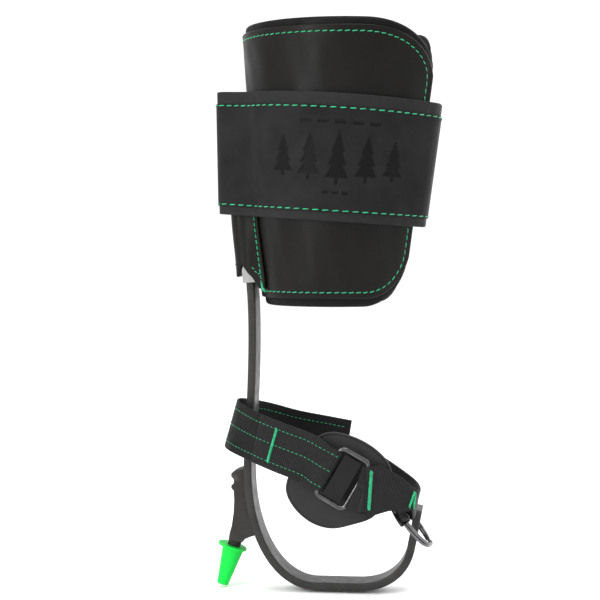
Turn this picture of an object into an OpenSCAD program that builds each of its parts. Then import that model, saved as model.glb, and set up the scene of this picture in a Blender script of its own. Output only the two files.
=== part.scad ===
// Tree climbing spur for one leg. Millimetres, Z up, X to the outer side of the leg, -Y to the front.
// The origin is the middle of the stirrup tread's upper face.

/* [Shank and stirrup] */
// Width of the forged bar, front to back
bar_w = 28; // [22:1:34]
// Thickness of the forged bar
bar_t = 6.2; // [5:0.1:8]
// Distance from the tread's middle to the bar on the inner side, at ankle height
inner_reach = 69.2; // [60:0.1:80]
// Distance from the tread's middle to the eye end's bar
outer_reach = 58.5; // [52:0.5:70]
// Height at which the straight top of the shank starts
bend_z = 228; // [190:1:270]
// Length of the straight top of the shank
straight_len = 102; // [90:1:130]
// Outward lean of the straight top, in degrees
lean = 4.6; // [0:0.1:7]
// Length of the flat part of the tread
tread_len = 32; // [20:1:40]

/* [Eye and ring] */
// Width of the slotted eye, front to back
eye_w = 13; // [11:0.5:15]
// Length of the slotted eye, along the bar
eye_len = 16; // [15:0.5:20]
// Steel left round the eye, at its end
eye_rim = 5; // [4:0.5:8]
// Radius of the split ring, at the middle of its wire
ring_r = 19.5; // [17:0.5:22]
// Radius of the ring's wire
wire_r = 1.2; // [1:0.1:1.4]

/* [Gaff and guard] */
// Length of the gaff's point, below its root
spike_len = 36; // [30:1:44]
// Radius of the point at its root
spike_r = 6; // [5:0.25:7]
// Radius of the point at its tip
tip_r = 1.2; // [1:0.1:2]
// Width of the gaff's body, front to back
gaff_w = 20; // [16:1:24]
// Length of the guard
guard_len = 32; // [28:1:36]
// Wall of the guard
guard_wall = 2.4; // [1.6:0.1:3]
// Travel of the guard when it is pulled off
guard_travel = 45; // [40:1:60]

/* [Leg sleeve] */
// Length of the sleeve
sleeve_len = 140; // [120:1:160]
// Wall of the sleeve
sleeve_wall = 1.8; // [1.5:0.1:2.5]
// Thread radius of the sleeve screws
screw_r = 3; // [2.5:0.5:4]
// Height of the lower sleeve screw above the sleeve's lower end
screw_first = 22; // [15:1:40]
// Distance between the two sleeve screws
screw_gap = 40; // [30:1:50]

/* [Calf pad] */
// Height of the pad leather's lower edge
pad_z = 222; // [200:1:240]
// Height of the pad leather
pad_h = 201; // [170:1:220]
// Radius of the pad at its lower edge
pad_r = 56.6; // [50:0.2:62]
// How much the radius grows for each millimetre of height
pad_flare = 0.106; // [0.06:0.002:0.13]
// Thickness of the foam lining
foam_t = 6; // [4:0.5:8]
// Thickness of the leather
leather_t = 2.4; // [1.6:0.1:3]
// Height of foam that shows past the leather at top and bottom
foam_lip = 6; // [3:0.5:8]

/* [Calf strap] */
// Height of the strap's lower edge at the front
strap_z = 280; // [265:1:300]
// Width of the strap
strap_h = 94; // [80:1:105]
// Thickness of the strap
strap_t = 4.5; // [3:0.25:5]

/* [Foot strap] */
// Width of the webbing
web_w = 38; // [34:1:42]
// Thickness of the webbing
web_t = 3; // [2:0.25:3.5]
// Radius of the buckle's wire
buckle_r = 1.8; // [1.5:0.1:2.2]
// Size of the buckle frame along the strap, between its two bars
buckle_len = 24; // [22:0.5:28]
// Thickness of the chafe pad
chafe_t = 3.5; // [2.5:0.5:5]

/* [Hidden] */

gap = 0.3;            // air between soft pieces
run = 0.4;            // running room round the bar in the sleeve
fit = 0.1;            // room round a screw in its hole
fine = 64;            // facets of a full circle
steps = 12;           // points along each bend of the bar

// ---- curves ----
function mix(a, b, t) = a + (b - a) * t;
function bezier(a, b, c, d, t) = mix(mix(mix(a, b, t), mix(b, c, t), t), mix(mix(b, c, t), mix(c, d, t), t), t);
function bend(p) = [for (i = [0 : steps]) bezier(p[0], p[1], p[2], p[3], i / steps)];
function unit(v) = v / norm(v);
function side(v) = [-v[1], v[0]];

// A smooth line through points, n steps for each gap
function spline_at(a, b, c, d, t) = 0.5 * (2 * b + (c - a) * t + (2 * a - 5 * b + 4 * c - d) * t * t
    + (3 * b - a - 3 * c + d) * t * t * t);
function spline(p, n) = let (last = len(p) - 1) concat([for (i = [0 : last - 1], j = [0 : n - 1])
    spline_at(p[max(i - 1, 0)], p[i], p[i + 1], p[min(i + 2, last)], j / n)], [p[last]]);

// The direction of a line of points at point i
function heading(p, i) = unit(p[min(i + 1, len(p) - 1)] - p[max(i - 1, 0)]);

// A closed solid between two grids of points, a (outside) and b (inside)
module between(a, b) {
    n = len(a);
    m = len(a[0]);
    function at(i, j) = i * m + j;
    low = n * m;
    skin = [for (i = [0 : n - 2], j = [0 : m - 2]) each [
        [at(i, j), at(i + 1, j + 1), at(i + 1, j)], [at(i, j), at(i, j + 1), at(i + 1, j + 1)],
        [low + at(i, j), low + at(i + 1, j), low + at(i + 1, j + 1)],
        [low + at(i, j), low + at(i + 1, j + 1), low + at(i, j + 1)]]];
    ends = [for (i = [0 : n - 2]) each [
        [at(i, 0), low + at(i + 1, 0), low + at(i, 0)], [at(i, 0), at(i + 1, 0), low + at(i + 1, 0)],
        [at(i, m - 1), low + at(i, m - 1), low + at(i + 1, m - 1)],
        [at(i, m - 1), low + at(i + 1, m - 1), at(i + 1, m - 1)]]];
    sides = [for (j = [0 : m - 2]) each [
        [at(0, j), low + at(0, j + 1), at(0, j + 1)], [at(0, j), low + at(0, j), low + at(0, j + 1)],
        [at(n - 1, j), at(n - 1, j + 1), low + at(n - 1, j + 1)],
        [at(n - 1, j), low + at(n - 1, j + 1), low + at(n - 1, j)]]];
    polyhedron([each each a, each each b], concat(skin, ends, sides));
}

// A strap along a line of points, its width lying along the matching directions in across
module strap(line, across, widths, thick) {
    n = len(line) - 1;
    function out(i) = unit(cross(heading(line, i), across[i]));
    function row(i, s) = [for (k = [-1, 1]) line[i] + across[i] * k * widths[i] / 2 + out(i) * s * thick / 2];
    between([for (i = [0 : n]) row(i, 1)], [for (i = [0 : n]) row(i, -1)]);
}

// ---- shank ----
inner_bend = bend([[-tread_len / 2, -bar_t / 2], [-tread_len / 2 - 30, -bar_t / 2],
    [-inner_reach - 1.4, 34.5], [-inner_reach, 92]]);
top_way = [-sin(lean), cos(lean)];
bend_x = -inner_reach + 2.6;
shin_bend = bend([[-inner_reach, 92], [-inner_reach + 2, 132], [bend_x, bend_z] - top_way * 40,
    [bend_x, bend_z]]);
outer_bend = bend([[tread_len / 2, -bar_t / 2], [tread_len / 2 + 24, -bar_t / 2],
    [outer_reach - 3, 9.5], [outer_reach, 31]]);
eye_way = unit([3.5, 19]);
eye_low = 6.5;                                        // from the end of the bend to the eye's lower end
stub_len = eye_low + eye_len + eye_rim;
stub_end = outer_bend[steps] + eye_way * stub_len;
bar_line = [each [for (i = [0 : steps]) outer_bend[i]], stub_end];
shank_line = [each [for (i = [steps : -1 : 1]) shin_bend[i]], each [for (i = [steps : -1 : 0]) inner_bend[i]],
    each bar_line];
top_point = [bend_x, bend_z] + top_way * straight_len;
full_line = [top_point, each shank_line];

module bar_outline(p, t) {
    n = len(p) - 1;
    function edge(s) = [for (i = [0 : n]) p[i] + side(heading(p, i)) * s * t / 2];
    back = edge(-1);
    polygon([each edge(1), each [for (i = [n : -1 : 0]) back[i]]]);
}

module upright(w) {
    rotate([90, 0, 0]) linear_extrude(w, center = true) children();
}

// Places children on the bar's middle at a point of one of the bends, with X across the bar
module on_bar(line, i) {
    way = heading(line, i);
    translate([line[i][0], 0, line[i][1]]) rotate([0, atan2(way[0], way[1]), 0]) children();
}

gaff_screw_at = [9, 10];                              // points of the inner bend where the screws go
gaff_screw_r = 4;
head_r = 5.4;
head_h = 2.2;

// Places children at the eye's middle, with X across the bar and Z along it
module at_eye() {
    p = outer_bend[steps] + eye_way * (eye_low + eye_len / 2);
    translate([p[0], 0, p[1]]) rotate([0, atan2(eye_way[0], eye_way[1]), 0]) children();
}

// Places children in the sleeve's frame: origin on the bar's middle at the sleeve's lower end
sleeve_z = 5;                                         // sleeve's lower end, past the start of the straight top
module in_sleeve() {
    p = [bend_x, bend_z] + top_way * sleeve_z;
    translate([p[0], 0, p[1]]) rotate([0, -lean, 0]) children();
}

index_gap = 12.7;
index_r = 3.4;
index_count = 6;

module shank() {
    color([0.22, 0.22, 0.22]) difference() {
        upright(bar_w) bar_outline(full_line, bar_t);
        for (i = gaff_screw_at) on_bar(inner_bend, i) rotate([0, 90, 0]) {
            cylinder(h = 3 * bar_t, r = gaff_screw_r + fit, center = true, $fn = fine);
            translate([0, 0, bar_t / 2 - head_h]) cylinder(h = bar_t, r = head_r + fit, $fn = fine);
        }
        for (k = [0 : index_count - 1]) in_sleeve() translate([0, 0, screw_first + k * index_gap])
            rotate([0, 90, 0]) cylinder(h = 3 * bar_t, r = index_r, center = true, $fn = fine);
        at_eye() eye_slot();
        at_eye() end_round();
    }
}

// The slotted eye
module eye_slot() {
    reach = (eye_len - eye_w) / 2;
    rotate([0, 90, 0]) {
        for (s = [-1, 1]) translate([s * reach, 0, 0])
            cylinder(h = 3 * bar_t, r = eye_w / 2, center = true, $fn = fine);
        cube([2 * reach, eye_w, 3 * bar_t], center = true);
    }
}

// What is cut from the bar to round its end
module end_round() {
    r = bar_w / 2 + 1.5;
    top = eye_len / 2 + eye_rim;
    difference() {
        translate([0, 0, top - r / 2 + 1]) cube([3 * bar_t, 2 * r + 2, r + 2], center = true);
        translate([0, 0, top - r]) rotate([0, 90, 0]) cylinder(h = 4 * bar_t, r = r, center = true, $fn = fine);
    }
}

// ---- gaff ----
spike_lean = 16.4;
spike_root = [-10.6 - inner_reach, 33];        // middle of the point's root
nub = 1.9;                                            // how far the two nubs stand out

module at_spike() {
    translate([spike_root[0], 0, spike_root[1]]) rotate([0, 180 + spike_lean, 0]) children();
}

module gaff() {
    x = -inner_reach;
    back = x - 11.5;
    color([0.2, 0.2, 0.21]) {
        difference() {
            union() {
                upright(gaff_w) polygon([[x, 87], [back + 6, 87], [back + 1.5, 85.6], [back - nub, 83.5],
                    [back - nub, 81], [back, 79], [back, 75.5], [back - nub, 74], [back - nub, 72],
                    [back, 70], [back + 0.4, 62], [back - 0.2, 52], [back - 1.5, 43], [back - 3.6, 32],
                    [x - 4.6, 29.5], [x - 2.6, 32], [x + 2, 34], [x + 12, 37]]);
                at_spike() translate([0, 0, -7]) cylinder(h = 7, r = spike_r, $fn = fine);
            }
            upright(2 * bar_w) bar_outline(full_line, bar_t);
            upright(2 * bar_w) polygon([for (p = concat(inner_bend, shin_bend)) p, [0, 200], [0, 0]]);
            for (i = gaff_screw_at) on_bar(inner_bend, i) rotate([0, 90, 0])
                translate([0, 0, -bar_t / 2 - 7]) cylinder(h = bar_t + 3, r = gaff_screw_r + fit, $fn = fine);
        }
        at_spike() {
            cylinder(h = spike_len, r1 = spike_r, r2 = tip_r, $fn = fine);
            translate([0, 0, spike_len]) sphere(r = tip_r, $fn = fine);
        }
    }
}

module gaff_screws() {
    color([0.12, 0.12, 0.12]) for (i = gaff_screw_at) on_bar(inner_bend, i) rotate([0, 90, 0])
        difference() {
            union() {
                translate([0, 0, -bar_t / 2 - 6]) cylinder(h = bar_t + 6 - fit, r = gaff_screw_r, $fn = fine);
                translate([0, 0, bar_t / 2 - head_h + fit]) cylinder(h = head_h - fit, r = head_r, $fn = fine);
            }
            translate([0, 0, bar_t / 2 - head_h / 2]) cylinder(h = bar_t, r = 2.9, $fn = 6);
        }
}

guard_gap = 0.4;                                      // air round the point inside the guard
guard_start = 8;                                      // guard's rim, below the point's root
flange_r = 11.4;
flange_t = 1.6;
flange_shift = 0.8;                                   // the flange stands out more on the outer side

function spike_radius(d) = mix(spike_r, tip_r, d / spike_len);

module gaff_guard() {
    end = guard_start + guard_len;
    hole_end = spike_len + tip_r + 1.5;
    color([0.05, 0.85, 0.33]) at_spike() difference() {
        union() {
            translate([0, 0, guard_start]) cylinder(h = guard_len, r1 = 8.8, r2 = tip_r + guard_wall + 0.9, $fn = fine);
            translate([flange_shift, 0, guard_start]) cylinder(h = flange_t, r = flange_r, $fn = fine);
        }
        translate([0, 0, guard_start - 1]) cylinder(h = hole_end - guard_start + 1,
            r1 = spike_radius(guard_start - 1) + guard_gap, r2 = tip_r + guard_gap, $fn = fine);
    }
}

// ---- split ring ----
ring_tilt = [0, 48.7, -3];
ring_mid = [outer_reach + 1.5, -ring_r + 0.5, 47.5];

module at_ring() {
    translate(ring_mid) rotate(ring_tilt) children();
}

module split_ring() {
    color([0.35, 0.35, 0.35]) at_ring() rotate_extrude($fn = 96) for (s = [-1, 1])
        translate([ring_r, s * (wire_r - 0.05)]) circle(r = wire_r, $fn = 32);
}

// ---- leg sleeve ----
hole_x = bar_t + 2 * run;
hole_y = bar_w + 2 * run;
sleeve_x = hole_x + 2 * sleeve_wall;
sleeve_y = hole_y + 2 * sleeve_wall;
nut_h = 1.5;
nut_r = 5.5;
cap_h = 1.2;
cap_r = 4.6;

module leg_sleeve() {
    color([0.62, 0.62, 0.62]) in_sleeve() difference() {
        translate([-sleeve_x / 2, -sleeve_y / 2, 0]) cube([sleeve_x, sleeve_y, sleeve_len]);
        translate([-hole_x / 2, -hole_y / 2, -1]) cube([hole_x, hole_y, sleeve_len + 2]);
        at_sleeve_screws() translate([0, 0, -1]) cylinder(h = sleeve_wall + 2, r = screw_r + fit, $fn = fine);
    }
}

// Places children on the inside of the sleeve's outer wall at each screw, with Z pointing out
module at_sleeve_screws() {
    for (k = [0, 1]) translate([-hole_x / 2, 0, screw_first + k * screw_gap]) rotate([0, -90, 0]) children();
}

module sleeve_nuts() {
    color([0.5, 0.5, 0.5]) in_sleeve() at_sleeve_screws() translate([0, 0, sleeve_wall]) difference() {
        cylinder(h = nut_h, r = nut_r, $fn = 6);
        translate([0, 0, -1]) cylinder(h = nut_h + 2, r = screw_r + fit, $fn = fine);
    }
}

module sleeve_screws() {
    color([0.15, 0.15, 0.15]) in_sleeve() at_sleeve_screws() difference() {
        union() {
            translate([0, 0, 0.2]) cylinder(h = sleeve_wall + nut_h, r = screw_r, $fn = fine);
            translate([0, 0, sleeve_wall + nut_h + fit]) cylinder(h = cap_h, r = cap_r, $fn = fine);
        }
        translate([0, 0, sleeve_wall + nut_h + 0.6]) cylinder(h = 5, r = 2.2, $fn = 6);
    }
}

// ---- calf pad ----
cone_drift = 0.031;                                   // how the pad's middle moves outward with height
pad_top = pad_z + pad_h;
function cone_r(z) = pad_r + (z - pad_z) * pad_flare;
function cone_x(z) = pad_r - inner_reach + 10.3 + (z - pad_z) * cone_drift;
flare_from = 309;                                     // from here on the front wing bends less
flare_k = 2.2;                                        // how many times larger its radius is there

// A point of the pad: a in degrees round it, out measured from the leather's face
function on_cone(a, z, out) = let (r = cone_r(z), k = a > flare_from ? flare_k : 1,
    b = a > flare_from ? flare_from + (a - flare_from) / k : a, m = r * (k - 1)
) [cone_x(z) - m * cos(flare_from) + (k * r + out) * cos(b), -m * sin(flare_from) + (k * r + out) * sin(b), z];

fold_a = 207.5;                                       // where the front wing folds, in degrees round the cone
front_from = fold_a + 1;
front_to = 339;
back_from = 24;
back_to = fold_a - 1.5;
front_corners = [[60, 40], [45, 37]];                 // front wing's upper and lower corner: length and height
back_corners = [[20, 20], [34, 34]];

// How much a rounded corner takes off, at distance d from the end
function corner(c, d) = d >= c[0] ? 0 : c[1] * (1 - sqrt(1 - pow(1 - d / c[0], 2)));

// One wing between angles a0 and a1, whose free end is at angle free
module wing(a0, a1, free, inner, outer, low, high) {
    cols = 20;
    rows = 7;
    a_free = free > (a0 + a1) / 2 ? a1 : a0;
    c = a_free == a1 ? front_corners : back_corners;
    function far(a) = abs(a - a_free) * cone_r(pad_z + pad_h / 2) * PI / 180 + 0.01;
    function zz(a, k) = mix(low + corner(c[1], far(a)), high - corner(c[0], far(a)), k / rows);
    list = [for (i = [0 : cols]) mix(a0, a1, eased(i / cols, a_free == a1))];
    between([for (a = list) [for (k = [0 : rows]) on_cone(a, zz(a, k), outer)]],
        [for (a = list) [for (k = [0 : rows]) on_cone(a, zz(a, k), inner)]]);
}

// Closer steps towards the free end, where the corners are
function eased(t, at_end) = at_end ? 1 - pow(1 - t, 1.6) : pow(t, 1.6);

module cuff_foam_front() {
    color([0.07, 0.07, 0.07]) wing(front_from, front_to, front_to, -leather_t - gap - foam_t, -leather_t - gap,
        pad_z - foam_lip, pad_top + foam_lip);
}

module cuff_leather_front() {
    color([0.12, 0.11, 0.1]) wing(front_from, front_to - 2, front_to, -leather_t, 0, pad_z, pad_top);
}

module cuff_foam_back() {
    color([0.07, 0.07, 0.07]) wing(back_from, back_to, back_from, -leather_t - gap - foam_t, -leather_t - gap,
        pad_z - foam_lip, pad_top + foam_lip);
}

module cuff_leather_back() {
    color([0.12, 0.11, 0.1]) wing(back_from + 2, back_to, back_from, -leather_t, 0, pad_z, pad_top);
}

// ---- sleeve pocket ----
pocket_low = 4;                                       // pocket's lower edge, above the sleeve's lower end
pocket_out = sleeve_x / 2 + nut_h + cap_h + 0.3;      // from the bar's middle to the inside of the pocket
pocket_half = sleeve_y / 2 + 1;
seam_a = 26;                                          // the seams at the bottom, in degrees from the sleeve
seam_in = 7;                                          // how much closer they run behind the strap

function sleeve_mid(z) = bend_x - (z - bend_z) * tan(lean);

// One level of the pocket: from the front seam, over the sleeve, to the back seam
function pocket_level(z, out) = let (
    m = sleeve_mid(z), w = pocket_half + out, d = pocket_out + out, c = 6 + out,
    closer = seam_in * min(1, max(0, (z - 238) / 40)),
    seam = on_cone(180 + seam_a - closer, z, gap + out), arc = [for (i = [0 : 4]) 90 * i / 4],
    front = [for (a = arc) [m - d + c - c * sin(a), -w + c - c * cos(a), z]],
    half = concat([seam, mix(seam, [m + 2, -w, z], 0.5), [m + 1, -w, z]], front)
) concat(half, [for (i = [len(half) - 1 : -1 : 0]) [half[i][0], -half[i][1], z]]);

module sleeve_pocket() {
    bottom = bend_z + pocket_low + sleeve_z;
    top = bend_z + sleeve_z + sleeve_len - 4;
    levels = [for (k = [0 : 6]) mix(bottom, top, k / 6)];
    color([0.13, 0.12, 0.11]) between([for (z = levels) pocket_level(z, leather_t)],
        [for (z = levels) pocket_level(z, 0)]);
}

// ---- calf strap ----
strap_fall = 11.6;                                    // how far the strap falls from inner to outer side
strap_in = gap + 0.3;
left_x = -inner_reach - 23;                           // outside of the strap past the pocket, at its lower edge
left_lean = 1.8;                                      // how much further out its upper edge is
end_len = 11;                                         // length of the fixed end that lies on the pad, in degrees
rivet_r = 4.2;
rivet_h = 1.4;
tail_to = 62;
tail_gap = 1.3;

function strap_drop(x) = -strap_fall * (x + 2) / 176;
function strap_low(x) = strap_z + strap_drop(x);

// A point of the strap: k is 0 at the lower edge and 1 at the upper
function strap_point(a, k, out) = let (
    z0 = strap_z + k * strap_h,
    x = on_cone(a, z0, out)[0], z = strap_low(x) + k * strap_h
) on_cone(a, z, out);

strap_rows = 5;

turn_a = front_to + 1.6;                              // where the strap leaves the wing's free end
turn_r = 8;                                           // inside radius of its turn
turn_from = flare_from + (turn_a - flare_from) / flare_k;
turn_to = 365;
loose_to = 16;                                        // where the tail lands on the back wing

// A point of the turn: b is the direction it faces
function turn_point(b, k, out) = let (
    p = strap_point(turn_a, k, strap_in - turn_r),
    x = p[0] + (turn_r + out) * cos(b)
) [x, p[1] + (turn_r + out) * sin(b), strap_low(x) + k * strap_h];

module cuff_strap() {
    round = [for (a = [0 : 18]) [mix(front_from, turn_a, a / 18), 0]];
    line = concat(round, [for (b = [1 : 4]) [0, mix(turn_from, turn_to, b / 4)]]);
    function at(p, k, out) = p[0] > 0 ? strap_point(p[0], k, strap_in + out) : turn_point(p[1], k, out);
    color([0.18, 0.18, 0.18]) between([for (p = line) [for (k = [0 : strap_rows]) at(p, k / strap_rows, strap_t)]],
        [for (p = line) [for (k = [0 : strap_rows]) at(p, k / strap_rows, 0)]]);
}

// The strap round the pocket, from its rivets behind it to the fold
function anchor_level(k, out) = let (
    z = strap_low(-90) + k * strap_h,
    w = pocket_half + leather_t + 1 + out, c = 9 + out,
    x0 = left_x - left_lean * k + strap_t - out,
    a1 = fold_a - 0.8,
    fold = strap_point(a1, k, strap_in + out),
    back = on_cone(180 - seam_a - 4, z, leather_t + out),
    end = on_cone(180 - seam_a - 4 - end_len, z, strap_in + out),
    arc = [for (i = [0 : 5]) 90 * i / 5]
) concat([fold, mix(fold, [x0 + c + 2, -w, z], 0.5)], [for (a = arc) [x0 + c - c * sin(a), -w + c - c * cos(a), z]],
    [for (i = [5 : -1 : 0]) [x0 + c - c * sin(arc[i]), w - c + c * cos(arc[i]), z]],
    [mix(back, [x0 + c + 2, w, z], 0.5), back, end]);

module strap_anchor() {
    color([0.18, 0.18, 0.18]) between([for (k = [0 : 4]) anchor_level(k / 4, strap_t)],
        [for (k = [0 : 4]) anchor_level(k / 4, 0)]);
}

// Two rivets that hold the strap's fixed end behind the sleeve
module strap_rivets() {
    a = 180 - seam_a - 4 - end_len * 0.6;
    color([0.4, 0.4, 0.4]) for (k = [0.2, 0.8])
        translate(on_cone(a, strap_low(-90) + k * strap_h, strap_in + strap_t + leather_t / 2))
            rotate([0, 90, a]) cylinder(h = rivet_h, r = rivet_r, $fn = fine);
}

// The tail runs free from the turn to the back wing and then lies on the patches
module strap_tail() {
    inner = 2 * gap + 2 * tail_gap;
    thick = strap_t - 0.5;
    list = [for (i = [0 : 8]) mix(loose_to, tail_to, i / 8)];
    function free(t, k, out) = let (a = turn_point(turn_to, k, out), b = strap_point(loose_to, k, inner + out),
        sag = [1.5 * sin(180 * t), 0.7 * (1 - t), 0]) mix(a, b, t) + sag;
    function row(out) = concat([for (i = [0 : 4]) [for (k = [0 : strap_rows]) free(i / 5, k / strap_rows, out)]],
        [for (a = list) [for (k = [0 : strap_rows]) strap_point(a, k / strap_rows, inner + out)]]);
    color([0.18, 0.18, 0.18]) between(row(thick), row(0));
}

module hook_patch() {
    color([0.05, 0.05, 0.05]) strap_patch(32, tail_to - 2, tail_gap + gap, 2 * tail_gap + gap);
}

module loop_patch() {
    color([0.09, 0.09, 0.09]) strap_patch(30, 100, gap, tail_gap);
}

// A patch on the back wing's side, narrower than the strap
module strap_patch(a0, a1, inner, outer) {
    margin = 0.1;
    cols = 12;
    list = [for (i = [0 : cols]) mix(a0, a1, i / cols)];
    function level(k) = mix(margin, 1 - margin, k / 3);
    between([for (a = list) [for (k = [0 : 3]) strap_point(a, level(k), outer)]],
        [for (a = list) [for (k = [0 : 3]) strap_point(a, level(k), inner)]]);
}

// ---- foot strap ----
buckle_mid = [8.6, -57, 88.3];
along = [cos(30), 0, -sin(30)];                       // along the strap at the buckle
over = [sin(30), 0, cos(30)];                         // across the strap at the buckle
tight_w = web_w - 4;                                  // width of the webbing where it is drawn through the buckle
loop_r = buckle_r + gap + web_t / 4;                  // from a bar's middle to the middle of the webbing round it
ply = web_t / 2;

// Half a turn of webbing round a bar at point p; way points from the bar to the strap it belongs to
function round_bar(p, way, r, from) = [for (i = [0 : 6]) let (a = from + 180 * i / 6)
    p + way * r * cos(a) + [0, r * sin(a), 0]];

band_route = [[4, 50.7, 100.5], [-14, 52, 103.5], [-40, 48.5, 108.5], [7.2 - inner_reach, 38, 115.5],
    [-7.3 - inner_reach, 21, 120.5], [-13.3 - inner_reach, 0, 123.2], [-9.3 - inner_reach, -20, 122],
    [9.2 - inner_reach, -39, 116.2], [-40, -48.5, 109.8], [-20, -54, 103.4]];
left_bar = buckle_mid - along * buckle_len / 2;
right_bar = buckle_mid + along * buckle_len / 2;
band_line = concat(spline(concat(band_route, [left_bar + [-6, -loop_r + 0.4, 3]]), 4),
    round_bar(left_bar, along, loop_r, -90), [left_bar + [-9, loop_r, 5], left_bar + [-20, loop_r + 2.3, 11]]);

// The width of a strap stands square to its run, as near upright as that allows
function upright_at(line, lean_to) = [for (i = [0 : len(line) - 1]) let (h = heading(line, i), v = lean_to)
    unit(v - (v * h) * h)];

function band_lean(p) = [mix(0.05, 0.28, min(1, max(0, (-p[0] - 60) / 15))), 0, 1];

module ankle_band() {
    n = len(band_line) - 1;
    turns = [for (i = [0 : n]) let (h = heading(band_line, i), v = band_lean(band_line[i]))
        i > n - 10 ? over : unit(v - (v * h) * h)];
    color([0.1, 0.1, 0.11]) strap(band_line, turns, [for (i = [0 : n]) i > n - 10 ? tight_w : web_w], ply);
}

link_route = [[9, 47, 95], [30, 38, 84.5], [47, 20, 76.5], [58, 2, 71.5], [62.5, -14, 68], [61.5, -28, 64], [58.5, -35, 62]];

module rear_link() {
    line = spline(link_route, 3);
    n = len(line) - 1;
    turns = upright_at(line, [0.2, 0.3, 1]);
    color([0.12, 0.12, 0.12]) strap(line, turns, [for (i = [0 : n]) 16], 2.4);
}

module rod(a, b, r) {
    d = b - a;
    translate(a) rotate([0, acos(d[2] / norm(d)), atan2(d[1], d[0])]) cylinder(h = norm(d), r = r, $fn = fine);
}

// A wire frame with round corners, in the X-Z plane of its own axes
module buckle_frame() {
    c = 4;
    x = buckle_len / 2;
    z = tight_w / 2 + c - 0.8;
    color([0.3, 0.3, 0.3]) translate(buckle_mid) rotate([0, 30, 0]) {
        for (s = [-1, 1]) {
            rod([s * x, 0, -z + c], [s * x, 0, z - c], buckle_r);
            rod([-x + c, 0, s * z], [x - c, 0, s * z], buckle_r);
        }
        for (k = [0 : 3]) rotate([0, 90 * k, 0]) {
            ex = k % 2 == 0 ? x : z;
            ez = k % 2 == 0 ? z : x;
            translate([ex - c, 0, ez - c]) rotate([90, 0, 0])
                rotate_extrude(angle = 90, $fn = fine) translate([c, 0]) circle(r = buckle_r, $fn = 32);
        }
    }
}

module buckle_keeper() {
    w = buckle_len - 2 * (loop_r + ply) - 2 * gap;
    color([0.06, 0.06, 0.06]) translate(buckle_mid) rotate([0, 30, 0])
        cube([w, 2, tight_w], center = true);
}

web_route = [[32, -57, 80], [45, -52, 77.5], [55, -46, 73], [62, -40, 70]];

module ring_webbing() {
    front = spline(concat([right_bar + [6, -loop_r + 0.6, -2]], web_route), 3);
    line = concat([right_bar + [17, loop_r + 0.3, -7.5], right_bar + [9, loop_r - 0.6, -5]],
        round_bar(right_bar, -along, loop_r, 90), front);
    n = len(line) - 1;
    function width(i) = i < 9 ? tight_w : line[i][0] < 34 ? web_w : mix(web_w, 15, (line[i][0] - 34) / 28);
    turns = [for (i = [0 : n]) i < 10 ? over : let (h = heading(line, i), v = mix(over, [0, 0, 1], min(1, (i - 9) / 5)))
        unit(v - (v * h) * h)];
    color([0.1, 0.1, 0.11]) strap(line, turns, [for (i = [0 : n]) width(i)], ply);
}

// The sewn fold that holds the ring, a half tube round its wire
module ring_tab() {
    r_in = 2 * wire_r + 0.7;
    r_out = r_in + 1.6;
    color([0.1, 0.1, 0.11]) at_ring() rotate([0, 0, 212]) rotate_extrude(angle = 40, $fn = 96)
        difference() {
            union() {
                translate([ring_r, 0]) circle(r = r_out, $fn = 32);
                translate([ring_r, -r_out + 1]) square([10, 2 * r_out - 2]);
            }
            translate([ring_r, 0]) circle(r = r_in, $fn = 32);
        }
}

chafe_mid = [5.4, -46.5, 83];
chafe_edge = [[-36, -4], [-35, -19], [-29, -28.5], [-16, -35], [-1, -36.5], [13, -32], [25, -21], [34, -10],
    [37, 4], [34, 20], [25, 32], [8, 37], [-12, 35.5], [-28, 28], [-35, 12]];

module chafe_pad() {
    n = len(chafe_edge);
    ring = [for (i = [0 : n - 1], j = [0 : 3]) spline_at(chafe_edge[(i + n - 1) % n], chafe_edge[i],
        chafe_edge[(i + 1) % n], chafe_edge[(i + 2) % n], j / 4)];
    color([0.2, 0.2, 0.2]) translate(chafe_mid) rotate([0, 30, 0]) rotate([90, 0, 0])
        linear_extrude(chafe_t, center = true) polygon(ring);
}

module chafe_rivets() {
    color([0.3, 0.3, 0.3]) for (s = [-1, 1]) translate(chafe_mid - along * 20 + over * s * 10 + [0, chafe_t / 2, 0])
        rotate([-90, 0, 0]) cylinder(h = 1, r = 3, $fn = fine);
}

shank();
gaff();
gaff_screws();
gaff_guard();
split_ring();
leg_sleeve();
sleeve_nuts();
sleeve_screws();
sleeve_pocket();
cuff_foam_front();
cuff_leather_front();
cuff_foam_back();
cuff_leather_back();
strap_anchor();
strap_rivets();
cuff_strap();
strap_tail();
hook_patch();
loop_patch();
ankle_band();
rear_link();
buckle_frame();
buckle_keeper();
ring_webbing();
ring_tab();
chafe_pad();
chafe_rivets();
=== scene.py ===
import math

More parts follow.
